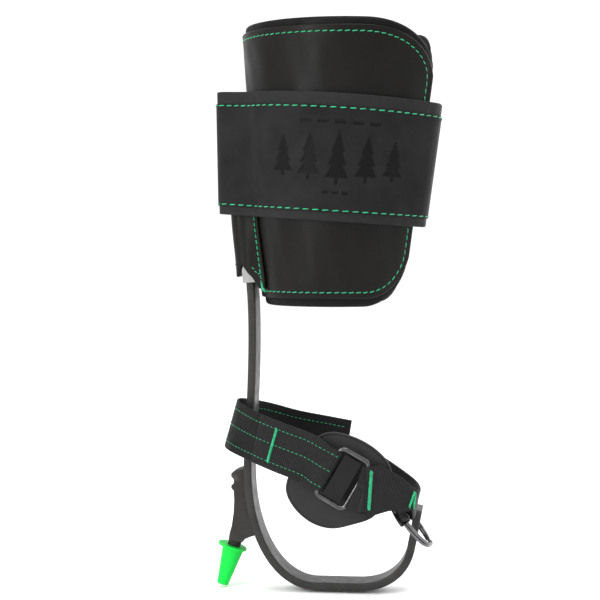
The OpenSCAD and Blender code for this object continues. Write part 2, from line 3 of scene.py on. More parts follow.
import bpy
import bmesh
import numpy as np
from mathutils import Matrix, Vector


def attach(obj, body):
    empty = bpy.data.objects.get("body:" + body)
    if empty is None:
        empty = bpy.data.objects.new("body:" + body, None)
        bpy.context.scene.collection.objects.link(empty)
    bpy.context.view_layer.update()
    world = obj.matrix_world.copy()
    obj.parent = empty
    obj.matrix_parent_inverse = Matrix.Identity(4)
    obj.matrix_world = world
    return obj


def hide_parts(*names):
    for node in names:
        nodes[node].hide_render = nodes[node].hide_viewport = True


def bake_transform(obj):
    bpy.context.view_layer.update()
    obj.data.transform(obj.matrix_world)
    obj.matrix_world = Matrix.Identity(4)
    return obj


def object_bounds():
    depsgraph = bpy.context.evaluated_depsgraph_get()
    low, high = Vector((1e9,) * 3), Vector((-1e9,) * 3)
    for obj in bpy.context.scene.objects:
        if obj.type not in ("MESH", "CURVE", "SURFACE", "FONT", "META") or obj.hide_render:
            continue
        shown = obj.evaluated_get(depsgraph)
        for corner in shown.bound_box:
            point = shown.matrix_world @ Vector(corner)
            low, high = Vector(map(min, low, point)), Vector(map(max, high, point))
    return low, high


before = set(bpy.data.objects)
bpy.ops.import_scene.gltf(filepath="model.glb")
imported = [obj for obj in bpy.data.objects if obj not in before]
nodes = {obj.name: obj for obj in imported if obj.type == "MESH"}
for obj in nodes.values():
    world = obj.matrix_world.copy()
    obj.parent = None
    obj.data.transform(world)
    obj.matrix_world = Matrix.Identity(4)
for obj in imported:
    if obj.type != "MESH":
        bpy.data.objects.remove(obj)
cad_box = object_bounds()

# ---- studio ----
# A plain pale floor under the stirrup, an even white surround, two large soft lights and the camera,
# a long lens level with the calf.
world = bpy.data.worlds.new("surround")
world.use_nodes = True
surround = world.node_tree.nodes["Background"].inputs
surround["Color"].default_value = (1, 1, 1, 1)
surround["Strength"].default_value = 1.12
bpy.context.scene.world = world
bpy.context.scene.view_settings.view_transform = "Standard"


def put(name, data):
    """A new object in the scene"""
    thing = bpy.data.objects.new(name, data)
    bpy.context.scene.collection.objects.link(thing)
    return thing


floor_mesh = bpy.data.meshes.new("floor")
half, floor_z = 14.0, cad_box[0][2] - 0.0015
floor_mesh.from_pydata([(x * half, y * half, floor_z) for x, y in ((-1, -1), (1, -1), (1, 1), (-1, 1))],
                       [], [(0, 1, 2, 3)])
floor = put("floor", floor_mesh)
floor_paint = bpy.data.materials.new("floor_paint")
floor_paint.use_nodes = True
floor_look = floor_paint.node_tree.nodes["Principled BSDF"].inputs
floor_look["Base Color"].default_value = (0.96, 0.96, 0.96, 1)
floor_look["Roughness"].default_value = 0.8
floor_mesh.materials.append(floor_paint)


def softbox(name, at, toward, size, watts):
    data = bpy.data.lights.new(name, "AREA")
    data.shape = "RECTANGLE"
    data.size, data.size_y = size
    data.energy = watts
    lamp = put(name, data)
    lamp.location = at
    lamp.rotation_euler = (Vector(toward) - Vector(at)).to_track_quat("-Z", "Y").to_euler()


softbox("left_softbox", (-0.75, -1.1, 0.75), (0, 0, 0.28), (0.35, 1.1), 14)
softbox("top_softbox", (0.2, -0.4, 1.5), (0, 0, 0.2), (0.9, 0.6), 12)
softbox("back_softbox", (1.0, 1.1, 0.8), (0, 0, 0.25), (0.7, 1.0), 10)

camera = put("camera", bpy.data.cameras.new("camera"))
camera.data.lens = 96.15
camera.data.sensor_width = 36
camera.location = (0.1118, -1.2408, 0.2735)
camera.rotation_euler = (Vector((-0.0296, 0, 0.219)) - camera.location).to_track_quat("-Z", "Y").to_euler()
bpy.context.scene.camera = camera

# ---- shank ----
# One forged bar, bent into the stirrup and up the inner side of the leg, dark coated, its edges
# rounded by the dies. The eye at its outer end and the index holes at its top are punched through.
MM = 0.001
bar_w, bar_t = 28.0, 6.2
inner_reach, outer_reach = 69.2, 58.5
lean = math.radians(4.6)
tread_half = 16.0
top_way = np.array([-math.sin(lean), math.cos(lean)])
straight_start = np.array([-inner_reach + 2.6, 228.0])


def unit(v):
    v = np.asarray(v, float)
    return v / np.maximum(np.linalg.norm(v, axis=-1, keepdims=True), 1e-9)


def bezier(a, b, c, d, steps):
    t = np.linspace(0, 1, steps + 1)[:, None]
    a, b, c, d = (np.asarray(p, float) for p in (a, b, c, d))
    return a * (1 - t) ** 3 + 3 * b * t * (1 - t) ** 2 + 3 * c * t * t * (1 - t) + d * t ** 3


def headings(line):
    """The direction of a line at each of its points"""
    ahead = np.vstack([line[1:], 2 * line[-1:] - line[-2:-1]])
    behind = np.vstack([2 * line[:1] - line[1:2], line[:-1]])
    return unit(ahead - behind)


def rounded(width, thick, radius, steps, across):
    """A strip's outline with rounded edges, as width and thickness offsets"""
    out = []
    for k, (sx, sy) in enumerate(((1, 1), (-1, 1), (-1, -1), (1, -1))):
        mid = np.array([sx * (width / 2 - radius), sy * (thick / 2 - radius)])
        for i in range(steps + 1):
            a = math.pi / 2 * (k + i / steps)
            out.append(mid + radius * np.array([math.cos(a), math.sin(a)]))
        if k in (0, 2):
            gap = 2 * (width / 2 - radius)
            for i in range(1, across):
                out.append(mid + np.array([-sx * gap * i / across, radius * sy]))
    return np.array(out)


def run_along(line):
    """How far along a line each of its points lies"""
    return np.concatenate([[0], np.cumsum(np.linalg.norm(np.diff(line, axis=0), axis=1))])


def sweep(line, across, outline):
    """Points, faces and lay of a bar or strip drawn along a line. across is its width direction."""
    n = len(line)
    way = headings(line)
    across = np.broadcast_to(np.asarray(across, float), (n, 3))
    wide = unit(across - (across * way).sum(1, keepdims=True) * way)
    out = np.cross(way, wide)
    if outline.ndim == 2:
        outline = np.broadcast_to(outline, (n,) + outline.shape)
    points = line[:, None] + outline[..., :1] * wide[:, None] + outline[..., 1:] * out[:, None]
    lay = np.zeros(points.shape)
    lay[..., 0] = run_along(line)[:, None]
    lay[..., 1:] = outline
    return tube(points, lay)


def quads(index):
    """The faces between neighbouring rows and columns"""
    return np.stack([index[:-1, :-1], index[:-1, 1:], index[1:, 1:], index[1:, :-1]], -1).reshape(-1, 4)


def tube(points, lay=None):
    """Points and faces of rows by columns, the columns joined round and the two ends closed"""
    n, m = points.shape[:2]
    index = np.arange(n * m).reshape(n, m)
    faces = quads(np.hstack([index, index[:, :1]])).tolist() + [index[0][::-1].tolist(), index[-1].tolist()]
    return points.reshape(-1, 3), faces, None if lay is None else lay.reshape(-1, 3)


def joined(parts):
    """Several (points, faces, lay) as one"""
    points, faces, lays, base = [], [], [], 0
    for p, f, lay in parts:
        points.append(p)
        lays.append(np.zeros_like(p) if lay is None else lay)
        faces += [[i + base for i in face] for face in f]
        base += len(p)
    return np.vstack(points), faces, np.vstack(lays)


def meshed(name, points, faces):
    """A mesh from points in millimetres, its faces turned outward"""
    mesh = bpy.data.meshes.new(name)
    mesh.from_pydata((points * MM).tolist(), [], faces)
    work = bmesh.new()
    work.from_mesh(mesh)
    bmesh.ops.recalc_face_normals(work, faces=work.faces)
    work.to_mesh(mesh)
    work.free()
    return mesh


def smoothed(mesh, sharp):
    mesh.shade_smooth()
    mesh.set_sharp_from_angle(angle=math.radians(sharp))


def make(name, shape, paint, body, sharp=40, extra=None):
    """A finished piece from points in millimetres. It rides on a body, where one is given"""
    points, faces, lay = shape
    mesh = meshed(name, points, faces)
    if lay is not None:
        mesh.attributes.new("lay", "FLOAT_VECTOR", "POINT").data.foreach_set("vector", lay.ravel())
    for key, values in (extra or {}).items():
        mesh.attributes.new(key, "FLOAT", "POINT").data.foreach_set("value", values)
    smoothed(mesh, sharp)
    mesh.materials.append(paint)
    piece = put(name, mesh)
    if body:
        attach(piece, body)
    return piece


def finish(name, colours, rough, bumps, metallic=0.0, patch=30.0, sheen=0.0, edge=None, shine=0.5):
    """A surface of two colours in soft patches, uneven gloss and stacked relief. Each bump is
    (kind, scale or pitch in mm, depth in mm), and edge is the colour that shows on worn corners.
    Ribs and twill are also painted lighter on their raised crests, a painted highlight, and the
    grooves between them stay darker as painted shade."""
    paint = bpy.data.materials.new(name)
    paint.use_nodes = True
    tree = paint.node_tree
    shader = tree.nodes["Principled BSDF"]
    shader.inputs["Metallic"].default_value = metallic
    shader.inputs["Sheen Weight"].default_value = sheen
    shader.inputs["Specular IOR Level"].default_value = shine
    place = tree.nodes.new("ShaderNodeTexCoord").outputs["Object"]

    def noise(scale, detail=4.0):
        node = tree.nodes.new("ShaderNodeTexNoise")
        node.inputs["Scale"].default_value = scale
        node.inputs["Detail"].default_value = detail
        tree.links.new(place, node.inputs["Vector"])
        return node.outputs["Fac"]

    def spread(value, low, high, a=0.3, b=0.7):
        node = tree.nodes.new("ShaderNodeMapRange")
        for key, number in (("From Min", a), ("From Max", b), ("To Min", low), ("To Max", high)):
            node.inputs[key].default_value = number
        tree.links.new(value, node.inputs["Value"])
        return node.outputs["Result"]

    def mixed(factor, one, two):
        node = tree.nodes.new("ShaderNodeMix")
        node.data_type = "RGBA"
        tree.links.new(factor, node.inputs["Factor"])
        for socket, value in ((node.inputs["A"], one), (node.inputs["B"], two)):
            if isinstance(value, tuple):
                socket.default_value = (*value, 1)
            else:
                tree.links.new(value, socket)
        return node.outputs["Result"]

    def maths(kind, a, b=None):
        node = tree.nodes.new("ShaderNodeMath")
        node.operation = kind
        for socket, value in zip(node.inputs, (a, b)):
            if isinstance(value, (int, float)):
                socket.default_value = value
            elif value is not None:
                tree.links.new(value, socket)
        return node.outputs[0]

    colour = mixed(spread(noise(patch), 0, 1), *colours)
    if edge:
        worn = spread(tree.nodes.new("ShaderNodeNewGeometry").outputs["Pointiness"], 0, 1, 0.53, 0.62)
        colour = mixed(maths("MULTIPLY", worn, spread(noise(220), 0.35, 1)), colour, edge)
    rough_value = spread(noise(patch * 2.3), *rough)
    normal = None
    for kind, size, depth in bumps:
        if kind == "noise":
            height = noise(1000 / size, 6)
        elif kind == "cells":
            cells = tree.nodes.new("ShaderNodeTexVoronoi")
            cells.inputs["Scale"].default_value = 1000 / size
            tree.links.new(place, cells.inputs["Vector"])
            height = cells.outputs["Distance"]
        else:
            lay = tree.nodes.new("ShaderNodeAttribute")
            lay.attribute_name = "lay"
            parts = tree.nodes.new("ShaderNodeSeparateXYZ")
            tree.links.new(lay.outputs["Vector"], parts.inputs[0])
            slant = {"ribs": 0.0, "twill": 1.1}[kind]
            run = maths("ADD", parts.outputs[0], maths("MULTIPLY", parts.outputs[1], slant))
            wave = maths("SINE", maths("MULTIPLY", run, 2 * math.pi / size))
            height = maths("ADD", maths("MULTIPLY", wave, 0.5), 0.5)
            # painted highlight: raised crests of ribs and twill are painted lighter than the grooves,
            # standing in for the light they catch and the shade between them
            painted_crest_highlight = tuple(min(1, 2.2 * c + 0.012) for c in colours[1])
            colour = mixed(maths("MULTIPLY", height, 0.55), colour, painted_crest_highlight)
        bump = tree.nodes.new("ShaderNodeBump")
        bump.inputs["Strength"].default_value = 1
        bump.inputs["Distance"].default_value = depth * MM
        tree.links.new(height, bump.inputs["Height"])
        if normal:
            tree.links.new(normal, bump.inputs["Normal"])
        normal = bump.outputs["Normal"]
    tree.links.new(colour, shader.inputs["Base Color"])
    tree.links.new(rough_value, shader.inputs["Roughness"])
    if normal:
        tree.links.new(normal, shader.inputs["Normal"])
    return paint


def in_leg_plane(flat):
    """Points of the leg's plane, width direction left at zero"""
    return np.stack([flat[:, 0], np.zeros(len(flat)), flat[:, 1]], 1)


forged_steel = finish("forged_steel", ((0.014, 0.0133, 0.0128), (0.025, 0.0238, 0.0228)), (0.34, 0.5),
                      (("noise", 2.2, 0.10), ("noise", 0.5, 0.03)), metallic=0.2, patch=60,
                      edge=(0.10, 0.097, 0.094), shine=0.3)
inner_bend = bezier((-tread_half, -bar_t / 2), (-tread_half - 30, -bar_t / 2),
                    (-inner_reach - 1.4, 34.5), (-inner_reach, 92), 60)
shin_bend = bezier((-inner_reach, 92), (-inner_reach + 2, 132),
                   straight_start - top_way * 40, straight_start, 40)
outer_bend = bezier((tread_half, -bar_t / 2), (tread_half + 24, -bar_t / 2),
                    (outer_reach - 3, 9.5), (outer_reach, 31), 40)
eye_way = unit((3.5, 19))
eye_w, eye_len, eye_rim, eye_low = 13.0, 16.0, 5.0, 6.5
bar_end = outer_bend[-1] + eye_way * (eye_low + eye_len + eye_rim)
bar_line = np.vstack([
    np.linspace(straight_start + top_way * 102, straight_start, 30)[:-1],
    shin_bend[::-1][:-1], inner_bend[::-1][:-1],
    np.linspace(inner_bend[0], outer_bend[0], 12)[:-1], outer_bend,
    np.linspace(outer_bend[-1], bar_end, 9)[1:]])
shank = make("shank_bar", sweep(in_leg_plane(bar_line), (0, 1, 0), rounded(bar_w, bar_t, 1.3, 4, 8)),
             forged_steel, None)


def drilled(piece, cutters):
    """Cuts closed shapes, in millimetres, out of a piece"""
    points, faces, _ = joined(cutters)
    cutter = put("cutter", meshed("cutter", points, faces))
    cut = piece.modifiers.new("holes", "BOOLEAN")
    cut.object, cut.operation, cut.solver = cutter, "DIFFERENCE", "EXACT"
    done = bpy.data.meshes.new_from_object(piece.evaluated_get(bpy.context.evaluated_depsgraph_get()))
    piece.modifiers.clear()
    piece.data = done
    bpy.data.objects.remove(cutter)
    smoothed(done, 40)


def pin(middle, way, radius, length, stretch=0.0, up=(0, 0, 1)):
    """A closed round bar, or a slot where stretch is given along up"""
    sides = 32
    way = unit(way)
    up = unit(np.asarray(up, float) - np.dot(up, way) * way)
    aside = np.cross(way, up)
    turn = 2 * math.pi * (np.arange(sides) + 0.5) / sides
    ring = radius * (np.cos(turn)[:, None] * aside + np.sin(turn)[:, None] * up)
    ring += np.sign(np.sin(turn))[:, None] * stretch * up
    ends = [np.asarray(middle) + s * length / 2 * way + ring for s in (-1, 1)]
    return tube(np.array(ends))


eye_mid, eye_up, eye_across = in_leg_plane(np.array([
    outer_bend[-1] + eye_way * (eye_low + eye_len / 2), eye_way, (eye_way[1], -eye_way[0])]))
cut_len, hole_r, hole_pitch, hole_count = 24, 3.4, 12.7, 6
cuts = [pin(eye_mid, eye_across, eye_w / 2, cut_len, stretch=(eye_len - eye_w) / 2, up=eye_up)]
sleeve_foot = straight_start + top_way * 5
for k in range(hole_count):
    p = sleeve_foot + top_way * (22 + hole_pitch * k)
    cuts.append(pin((p[0], 0, p[1]), (top_way[1], 0, -top_way[0]), hole_r, cut_len))
drilled(shank, cuts)
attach(shank, "root")
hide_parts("shank")


def dressed(node, paint, bevel, segments=3):
    """A rigid part kept from the frame: its edges rounded, and its finish put on"""
    piece = nodes[node]
    weld = piece.modifiers.new("weld", "WELD")
    weld.merge_threshold = 0.00002
    if bevel:
        edges = piece.modifiers.new("edges", "BEVEL")
        edges.width, edges.segments = bevel * MM, segments
        edges.limit_method, edges.angle_limit = "ANGLE", math.radians(30)
        edges.miter_outer = "MITER_ARC"
    if piece.material_slots:
        for held in piece.material_slots:
            held.material = paint
    else:
        piece.data.materials.append(paint)
    return piece


# ---- gaff ----
# The steel climbing point, a forging with two nubs on its back, bolted to the shank by two
# socket screws that are sunk into the shank's inner face.
gaff_steel = finish("gaff_steel", ((0.013, 0.0118, 0.011), (0.024, 0.0218, 0.0205)), (0.42, 0.6),
                    (("noise", 3, 0.10), ("noise", 0.6, 0.04)), metallic=0.15, patch=70,
                    edge=(0.06, 0.057, 0.054), shine=0.25)
dressed("gaff", gaff_steel, 0.9, 4)
black_screw = finish("black_screw", ((0.02, 0.02, 0.021), (0.035, 0.035, 0.036)), (0.3, 0.45),
                     (("noise", 0.4, 0.02),), metallic=0.6, patch=200)
dressed("gaff_screws", black_screw, 0.25)

# ---- gaff guard ----
# A soft green plastic cap pushed over the gaff's point, with a flange to pull it off by.
guard_plastic = finish("guard_plastic", ((0.0, 0.52, 0.045), (0.0, 0.60, 0.06)), (0.38, 0.48),
                       (("noise", 1.4, 0.03),), patch=50, shine=0.2)
for key, value in (("Weight", 0.15), ("Scale", 0.004), ("Radius", (0.4, 1.0, 0.4))):
    guard_plastic.node_tree.nodes["Principled BSDF"].inputs["Subsurface " + key].default_value = value
dressed("gaff_guard", guard_plastic, 0.5, 4)

# ---- split ring ----
# A double coil of spring wire through the shank's eye, whose two ends overlap.
ring_steel = finish("ring_steel", ((0.10, 0.10, 0.105), (0.17, 0.17, 0.175)), (0.2, 0.34),
                    (("noise", 1.2, 0.02),), metallic=1.0, patch=120)
ring_r, wire_r = 19.5, 1.2
ring_mid = np.array([outer_reach + 1.5, -ring_r + 0.5, 47.5])
ring_turn = (0, 48.7, -3)


def turned(vectors, x, y, z):
    """Vectors turned about X, then Y, then Z, in degrees"""
    out = np.asarray(vectors, float)
    for axis, angle in ((0, x), (1, y), (2, z)):
        c, s = math.cos(math.radians(angle)), math.sin(math.radians(angle))
        i, j = ((1, 2), (2, 0), (0, 1))[axis]
        new = out.copy()
        new[..., i] = c * out[..., i] - s * out[..., j]
        new[..., j] = s * out[..., i] + c * out[..., j]
        out = new
    return out


def round_section(radius, sides=20):
    a = 2 * math.pi * np.arange(sides) / sides
    return radius * np.stack([np.cos(a), np.sin(a)], 1)


t = np.linspace(0, 1, 281)
coils = 1.97
angle = 2 * math.pi * coils * t + 0.55
level = (wire_r - 0.03) * np.clip((t - 0.5) / 0.1, -1, 1)
wire = np.stack([ring_r * np.cos(angle), ring_r * np.sin(angle), level], 1)
wire = ring_mid + turned(wire, *ring_turn)
ring_axis = turned((0, 0, 1), *ring_turn)
size = np.clip(np.minimum(t, 1 - t) / 0.004, 0.55, 1)[:, None, None]
ring = make("split_ring_wire", sweep(wire, ring_axis, round_section(wire_r) * size), ring_steel,
            "ring", 60)
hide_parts("split_ring")

# ---- leg sleeve ----
# A flat steel tube that slides on the shank and carries the calf pad, locked by two cap screws
# that go through nuts welded on its side.
sleeve_steel = finish("sleeve_steel", ((0.23, 0.23, 0.225), (0.31, 0.31, 0.30)), (0.3, 0.48),
                      (("noise", 0.7, 0.03), ("noise", 4, 0.05)), metallic=0.85, patch=70,
                      edge=(0.45, 0.45, 0.44))
dressed("leg_sleeve", sleeve_steel, 0.5)
nut_steel = finish("nut_steel", ((0.2, 0.2, 0.2), (0.28, 0.28, 0.275)), (0.3, 0.45), (("noise", 0.6, 0.02),),
                   metallic=0.9, patch=150)
dressed("sleeve_nuts", nut_steel, 0.25)
dressed("sleeve_screws", black_screw, 0.2)

# ---- calf pad ----
# Closed-cell foam under smooth black bridle leather, bent round the calf. On the real pad the two
# wings hinge where they pass the sleeve; here the foam and the leather are each one fixed piece.
# The foam stands out as a lip above and below the leather.
pad_z, pad_h, pad_r, pad_flare = 222.0, 201.0, 56.6, 0.106
pad_top = pad_z + pad_h
pad_from, pad_to, leather_t = 26, 337, 2.4
foam_past, foam_lip, foam_in, foam_out = 2, 6, -8.7, -2.75
flare_from, flare_k = 309.0, 2.2


def on_cone(a, z, out):
    """A point of the pad: a in degrees round it, out measured from the leather's face"""
    a, z, out = np.broadcast_arrays(*(np.asarray(v, float) for v in (a, z, out)))
    r = pad_r + (z - pad_z) * pad_flare
    k = np.where(a > flare_from, flare_k, 1.0)
    b = np.radians(np.where(a > flare_from, flare_from + (a - flare_from) / flare_k, a))
    m = r * (k - 1)
    f = math.radians(flare_from)
    return np.stack([-2.3 + (z - pad_z) * 0.031 - m * math.cos(f) + (k * r + out) * np.cos(b),
                     -m * math.sin(f) + (k * r + out) * np.sin(b), z], -1)


def corner(c, d):
    """How much a rounded corner of length c[0] and height c[1] takes off, at distance d from the end"""
    u = np.clip(1 - np.asarray(d, float) / c[0], 0, 1)
    return c[1] * (1 - np.sqrt(1 - u * u))


mid_r = pad_r + pad_h / 2 * pad_flare
front_corners, back_corners = ((60, 40), (45, 37)), ((20, 20), (34, 34))


def pad_edges(a, a0, a1, low, high, inset=0.0):
    """The lower and upper edge of the pad at angle a, inset by so much"""
    to_front = np.abs(a1 - a) * mid_r * math.pi / 180
    to_back = np.abs(a - a0) * mid_r * math.pi / 180
    low_edge = low + corner(front_corners[1], to_front) + corner(back_corners[1], to_back)
    high_edge = high - corner(front_corners[0], to_front) - corner(back_corners[0], to_back)
    return low_edge + inset, high_edge - inset


def slack(a, z):
    """The leather's slight unevenness as it lies on the foam"""
    return (0.28 * np.sin(a / 9.0 + z / 47.0) + 0.22 * np.sin(a / 5.3 - z / 23.0 + 1.3)
            + 0.15 * np.sin(a / 2.9 + z / 13.0 + 0.4))


def two_skins(top, under, lay):
    """Points, faces and lay of a closed skin made of two grids that meet at their edges"""
    n, m = top.shape[:2]
    faces = quads(np.arange(n * m).reshape(n, m))
    return (np.concatenate([top.reshape(-1, 3), under.reshape(-1, 3)]),
            faces.tolist() + (faces[:, ::-1] + n * m).tolist(), np.concatenate([lay.reshape(-1, 3)] * 2))


def pad_layer(a0, a1, low, high, inner, outer, rim, groove=0.0):
    """A closed pad shell with rounded rims between two depths. groove is cut under the stitching"""
    cols, rows = 300, 64
    ease = np.linspace(0, 1, cols + 1)
    ends = np.array([0, 0.12, 0.35, 0.65, 1.0]) * rim / mid_r * 180 / math.pi
    a = np.concatenate([a0 + ends, a0 + ends[-1] + (a1 - a0 - 2 * ends[-1]) * ease[1:-1], a1 - ends[::-1]])
    down, up = pad_edges(a, a0, a1, low, high)
    tall = (up - down)[:, None]
    inset = np.array([0, 0.12, 0.35, 0.65, 1.0]) * rim
    v = np.concatenate([inset / tall.mean(),
                        np.linspace(rim / tall.mean(), 1 - rim / tall.mean(), rows)[1:-1],
                        1 - inset[::-1] / tall.mean()])
    z = down[:, None] + v[None, :] * tall
    d_end = np.minimum(a - a0, a1 - a)[:, None] * mid_r * math.pi / 180
    d_rim = np.minimum(z - down[:, None], up[:, None] - z)
    d = np.minimum(d_end, d_rim)
    half_t = (outer - inner) / 2 * np.sqrt(np.clip(1 - (1 - np.clip(d / rim, 0, 1)) ** 2, 0, 1))
    middle = (outer + inner) / 2 + slack(a[:, None], z) * np.clip(d / 12, 0, 1)
    dent = groove * np.exp(-((d - 5.2) / 1.1) ** 2)
    aa = np.broadcast_to(a[:, None], z.shape)
    return two_skins(on_cone(aa, z, middle + half_t - dent), on_cone(aa, z, middle - half_t),
                     np.stack([aa * mid_r * math.pi / 180, z, 0 * z], -1))


def welded(piece):
    """Joins the two skins of a piece where they meet"""
    work = bmesh.new()
    work.from_mesh(piece.data)
    bmesh.ops.remove_doubles(work, verts=work.verts, dist=0.01 * MM)
    bmesh.ops.recalc_face_normals(work, faces=work.faces)
    work.to_mesh(piece.data)
    work.free()
    smoothed(piece.data, 70)


def over_the_fold(piece):
    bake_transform(piece)


leather = finish("leather", ((0.0030, 0.0026, 0.0023), (0.0050, 0.0044, 0.0039)), (0.36, 0.5),
                 (("noise", 14, 0.10), ("cells", 1.3, 0.05), ("noise", 0.5, 0.02)), patch=22, shine=0.13)
foam_paint = finish("foam_paint", ((0.0025, 0.0025, 0.0025), (0.0045, 0.0045, 0.0045)), (0.5, 0.66),
                    (("cells", 0.9, 0.07), ("noise", 6, 0.12)), patch=60, shine=0.1)
foam = make("pad_foam", pad_layer(pad_from - foam_past, pad_to + foam_past, pad_z - foam_lip,
                                  pad_top + foam_lip, foam_in, foam_out, 2.9), foam_paint, None, 60)
welded(foam)
over_the_fold(foam)
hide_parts("cuff_foam_front", "cuff_foam_back")
pad = make("pad_leather", pad_layer(pad_from, pad_to, pad_z, pad_top, -leather_t, 0, 1.15, groove=0.35),
           leather, None, 60)
welded(pad)
over_the_fold(pad)
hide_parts("cuff_leather_front", "cuff_leather_back")

thread = finish("thread", ((0.0, 0.17, 0.066), (0.002, 0.36, 0.15)), (0.35, 0.5), (("noise", 0.35, 0.06),),
                patch=400, sheen=0.15, shine=0.3)


def stitches(line, out, pitch, length, thick, slant=8.0, raised=0.15):
    """A row of lock stitches along a line of points, each a short rounded bead lying on the face.
    out is the face's direction at each point"""
    line, out = np.asarray(line, float), np.broadcast_to(np.asarray(out, float), np.shape(line))
    run = run_along(line)
    beads = []
    count = max(1, int(run[-1] // pitch))
    shape_t = np.linspace(-1, 1, 7)
    for i in range(count):
        s = (i + 0.5) * run[-1] / count + shape_t * length / 2
        p = np.stack([np.interp(s, run, line[:, k]) for k in range(3)], 1)
        n = unit(np.stack([np.interp(s, run, out[:, k]) for k in range(3)], 1))
        side = np.cross(n, headings(p))
        p = p + side * (shape_t * math.tan(math.radians(slant)) * length / 2)[:, None]
        p = p + n * (raised * (1 - shape_t ** 4) - 0.5 * thick * shape_t ** 8)[:, None]
        size = (0.35 + 0.65 * np.sqrt(1 - 0.98 * shape_t ** 2))[:, None, None]
        beads.append(sweep(p, side, round_section(thick / 2, 8) * size))
    return joined(beads)


def edge_path(a0, a1, low, high, inset, end_inset):
    """The pad's stitch line, the same distance in from every edge, from the back lower end round the
    front to the back upper end"""
    deg = 180 / math.pi / mid_r
    b0, b1 = a0 + end_inset * deg, a1 - end_inset * deg
    a = np.linspace(b0, b1, 500)
    to_front, to_back = (b1 - a) / deg, (a - b0) / deg
    (front_high, front_low), (back_high, back_low) = [
        [(c[0] - end_inset, c[1] - inset) for c in corners] for corners in (front_corners, back_corners)]
    lower = low + inset + corner(front_low, to_front) + corner(back_low, to_back)
    upper = high - inset - corner(front_high, to_front) - corner(back_high, to_back)
    z_end = np.linspace(lower[-1], upper[-1], 60)[1:-1]
    z_back = np.linspace(upper[0], lower[0], 60)[1:]
    return np.concatenate([np.stack([a, lower], 1), np.stack([np.full(58, b1), z_end], 1),
                           np.stack([a[::-1], upper[::-1]], 1), np.stack([np.full(59, b0), z_back], 1)])


def on_face(flat, out):
    """Points out from the pad's leather, and the direction it faces there"""
    a, z = flat[:, 0], flat[:, 1]
    p = on_cone(a, z, out)
    return p, unit(on_cone(a, z, 5.0) - on_cone(a, z, 0.0))


flat = edge_path(pad_from, pad_to, pad_z, pad_top, 5.0, 6.5)
depth = slack(flat[:, 0], flat[:, 1]) * 5.2 / 12 - 0.22
line, facing = on_face(flat, depth)
pad_seam = make("pad_stitching", stitches(line, facing, 5.5, 4.5, 0.85, 7), thread, None,
                80)
over_the_fold(pad_seam)

# ---- sleeve pocket ----
# A leather panel sewn to the pad on both sides of the sleeve, with a bartack at the foot of each
# seam, and cut away in front so that the sleeve's lower tip looks out.
sleeve_gap, sleeve_wall = 0.8, 3.6
sleeve_x, sleeve_y = bar_t + sleeve_gap + sleeve_wall, bar_w + sleeve_gap + sleeve_wall
pocket_out, pocket_half = sleeve_x / 2 + 1.5 + 1.2 + 0.3, sleeve_y / 2 + 1
bend_z = straight_start[1]
pocket_low, pocket_tall, pocket_cols, seam_a = bend_z + 9, 132, 150, 206


def sleeve_mid(z):
    return straight_start[0] - (z - bend_z) * math.tan(lean)


def closer(z):
    """How many degrees the pocket's seam draws in toward the sleeve above its foot"""
    return 7 * min(1, max(0, (z - 238) / 40))


def pocket_ring(z, out):
    """One level of the pocket: from the front seam, over the sleeve, to the back seam"""
    m, w, d, c = sleeve_mid(z), pocket_half + out, pocket_out + out, 6 + out
    seam = on_cone(seam_a - closer(z), z, 0.3 + out)
    away = on_cone(seam_a - closer(z) + 4.2, z, 0.3 + out)
    arc = np.radians(np.linspace(0, 90, 10))
    front = [np.array([m - d + c - c * math.sin(a), -w + c - c * math.cos(a), z]) for a in arc]
    half = [away, seam, (2 * seam + np.array([m + 2, -w, z])) / 3, (seam + 2 * np.array([m + 2, -w, z])) / 3,
            np.array([m + 1, -w, z])] + front
    return half + [p * np.array([1, -1, 1]) for p in half[::-1]]


def resampled(points, n):
    """n points evenly along a line"""
    points = np.asarray(points, float)
    run = run_along(points)
    s = np.linspace(0, run[-1], n)
    return np.stack([np.interp(s, run, points[:, k]) for k in range(3)], 1)


def softened(points, times):
    """Corners of a line rounded off, its two ends kept"""
    points = points.copy()
    for _ in range(times):
        points[1:-1] = points[1:-1] * 0.5 + (points[:-2] + points[2:]) * 0.25
    return points


def plan_out(line):
    """The outward direction of a level line seen from above"""
    way = headings(line)
    return unit(np.stack([way[:, 1], -way[:, 0], 0 * way[:, 0]], 1))


def shell(inner, outer, lay=None, rim=0.6):
    """A closed skin between two grids, rows by columns, its edges rounded off by rim"""
    mid = (inner + outer) / 2
    n, m = inner.shape[:2]
    down_steps, row_steps = (np.linalg.norm(np.diff(outer, axis=i), axis=2) for i in (0, 1))
    run_u = np.concatenate([np.zeros((1, m)), np.cumsum(down_steps, 0)])
    run_v = np.concatenate([np.zeros((n, 1)), np.cumsum(row_steps, 1)], 1)
    d = np.minimum(np.minimum(run_u, run_u[-1:] - run_u), np.minimum(run_v, run_v[:, -1:] - run_v))
    k = np.sqrt(np.clip(1 - (1 - np.clip(d / rim, 0, 1)) ** 2, 0, 1))[..., None]
    if lay is None:
        lay = np.stack([run_u, run_v, 0 * run_u], -1)
    return two_skins(mid + (outer - mid) * k, mid + (inner - mid) * k, lay)


def close_steps(n, rim, length):
    """n places from 0 to 1 with extra ones inside the rim at both ends"""
    e = np.array([0, 0.1, 0.35, 0.7, 1.2]) * rim / length
    return np.concatenate([e, np.linspace(e[-1], 1 - e[-1], n)[1:-1], 1 - e[::-1]])


